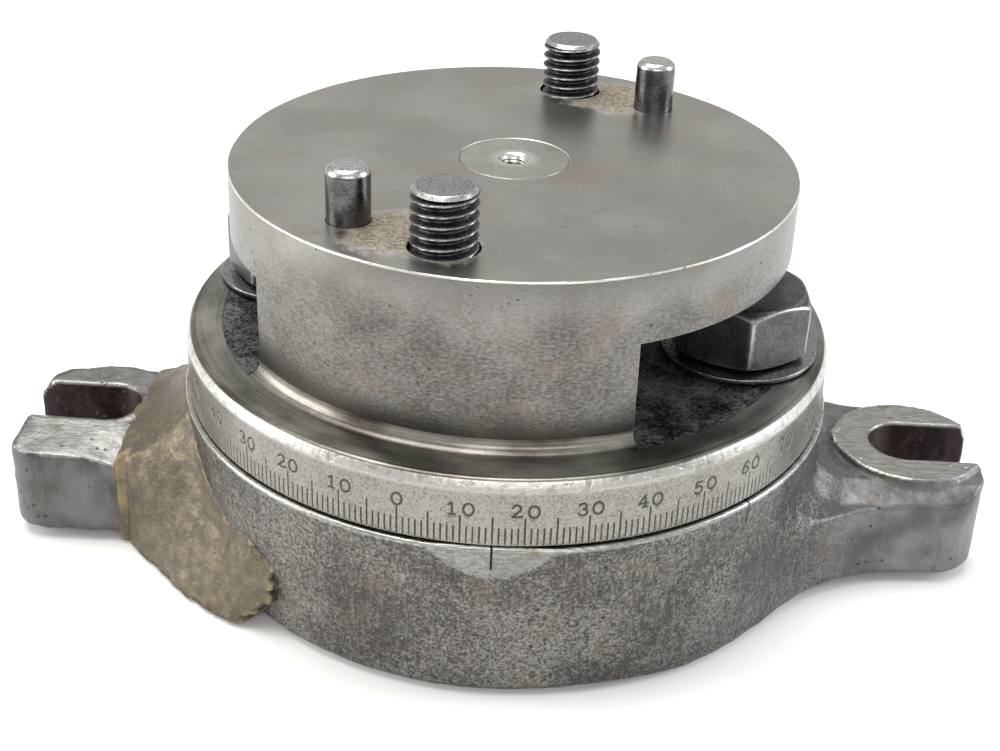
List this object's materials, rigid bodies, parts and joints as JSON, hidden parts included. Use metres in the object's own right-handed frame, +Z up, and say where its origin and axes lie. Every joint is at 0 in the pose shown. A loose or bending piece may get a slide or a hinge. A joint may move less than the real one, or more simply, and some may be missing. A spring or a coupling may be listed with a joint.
{
  "type": "rotary table",
  "caption": "Round swivel base with a graduated flange, bolt and T-nut clamps, a pinned and studded top plate and slotted lugs.",
  "frame": {"origin": "centre of the base's underside, on the swivel axis", "axes": "+Z up along the swivel axis, +X through the right-hand lug, -Y towards the index line. The right-hand lug is 1.4 mm shorter than the left, so the middle of the bounding box lies 0.7 mm towards -X of this origin"},
  "size_m": [0.1574, 0.1025, 0.073],
  "materials": {
    "cast_iron": "as-cast and worn, mottled grey, satin",
    "filed_iron": "hand-filed cast iron, brighter, with file marks",
    "braze_bronze": "dull filed braze with tan highlights",
    "bush_bronze": "turned bearing bronze",
    "ground_steel": "worn ground steel, satin, with brown staining",
    "plug_steel": "faced steel, satin",
    "dark_steel": "dark oiled steel with bright edges",
    "thread_steel": "dark blue-black threads with a bright turned end",
    "pin_steel": "ground dowel steel, semi-bright"
  },
  "bodies": {
    "base_body": {"base": "cast_iron", "left_lug": "filed_iron", "braze_repair": "braze_bronze", "pivot_bush": "bush_bronze"},
    "table": {"swivel_table": "ground_steel", "pivot_post": "plug_steel", "pivot_washer": "dark_steel", "pivot_nut": "dark_steel", "front_stud": "thread_steel", "rear_stud": "thread_steel", "front_dowel": "pin_steel", "rear_dowel": "pin_steel", "right_clamp_washer": "dark_steel", "left_clamp_washer": "dark_steel"},
    "right_bolt": {"right_clamp_bolt": "dark_steel"},
    "left_bolt": {"left_clamp_bolt": "dark_steel"},
    "right_nut": {"right_t_nut": "dark_steel"},
    "left_nut": {"left_t_nut": "dark_steel"}
  },
  "joints": [
    {"name": "table_swivel", "type": "hinge", "parent": "base_body", "child": "table", "pos_m": [0, 0, 0.028], "axis": [0, 0, 1], "continuous": true},
    {"name": "right_bolt_turn", "type": "hinge", "parent": "table", "child": "right_bolt", "pos_m": [0.03574, -0.00958, 0.045], "axis": [0, 0, 1], "range_deg": [0, 360]},
    {"name": "left_bolt_turn", "type": "hinge", "parent": "table", "child": "left_bolt", "pos_m": [-0.03574, 0.00958, 0.045], "axis": [0, 0, 1], "range_deg": [0, 360]},
    {"name": "right_nut_drop", "type": "slide", "parent": "table", "child": "right_nut", "axis": [0, 0, -1], "range_m": [0, 0.00195]},
    {"name": "left_nut_drop", "type": "slide", "parent": "table", "child": "left_nut", "axis": [0, 0, -1], "range_m": [0, 0.00195]}
  ],
  "couplings": [
    {"joint": "right_bolt_turn", "follows": "right_nut_drop", "rad_per_m": 3215.8},
    {"joint": "left_bolt_turn", "follows": "left_nut_drop", "rad_per_m": 3215.8}
  ]
}
